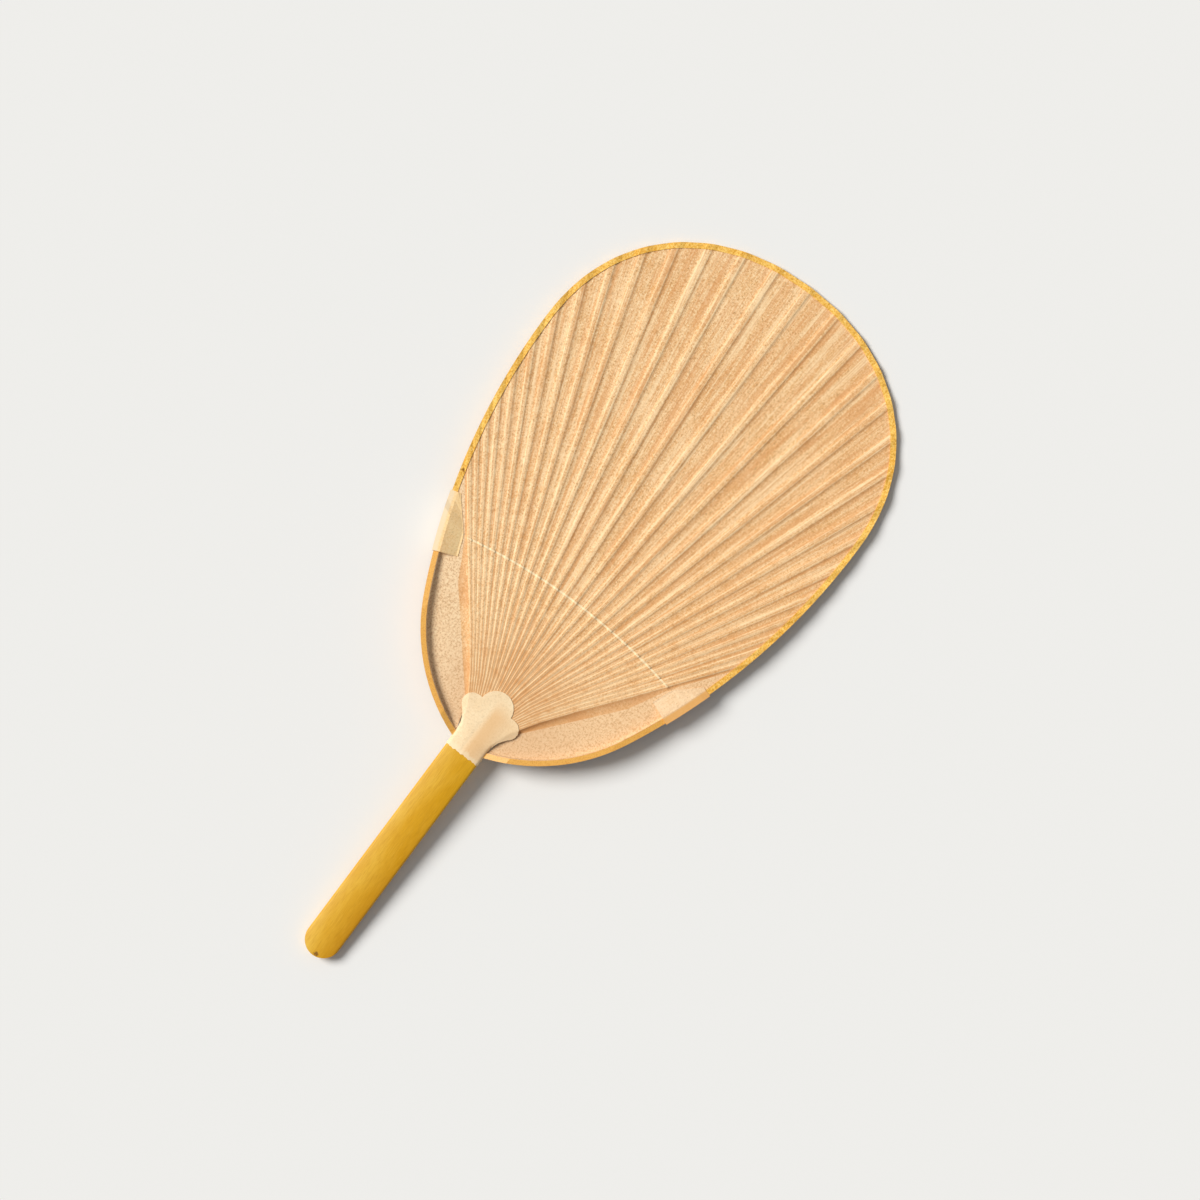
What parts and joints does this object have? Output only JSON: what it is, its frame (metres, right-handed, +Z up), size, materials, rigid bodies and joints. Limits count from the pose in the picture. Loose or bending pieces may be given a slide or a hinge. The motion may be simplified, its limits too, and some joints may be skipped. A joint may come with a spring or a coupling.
{
  "type": "round uchiwa fan",
  "caption": "Rigid bamboo and paper hand fan with a long egg-shaped blade, split ribs, a bow, an edge binding and a flat culm handle.",
  "frame": {"origin": "under the middle of the fan's box, on the table it lies on", "axes": "+Z up, +Y from the handle to the tip of the blade, +X to the right, seen from the fan's front"},
  "size_m": [0.187, 0.3996, 0.0145],
  "materials": {
    "bamboo": "satin culm skin",
    "bow_bamboo": "satin split bamboo",
    "thread": "matt cotton",
    "sheet": "matt fibrous paper, oiled tan",
    "binding": "matt dyed paper strip",
    "patch": "matt fibrous paper"
  },
  "bodies": {
    "root": {"handle_and_ribs": "bamboo", "bow": "bow_bamboo", "thread": "thread", "front_paper": "sheet", "back_paper": "sheet", "edge_binding": "binding", "ear_patch_left": "patch", "ear_patch_right": "patch", "neck_patch_front": "patch", "neck_patch_back": "patch"}
  },
  "joints": []
}
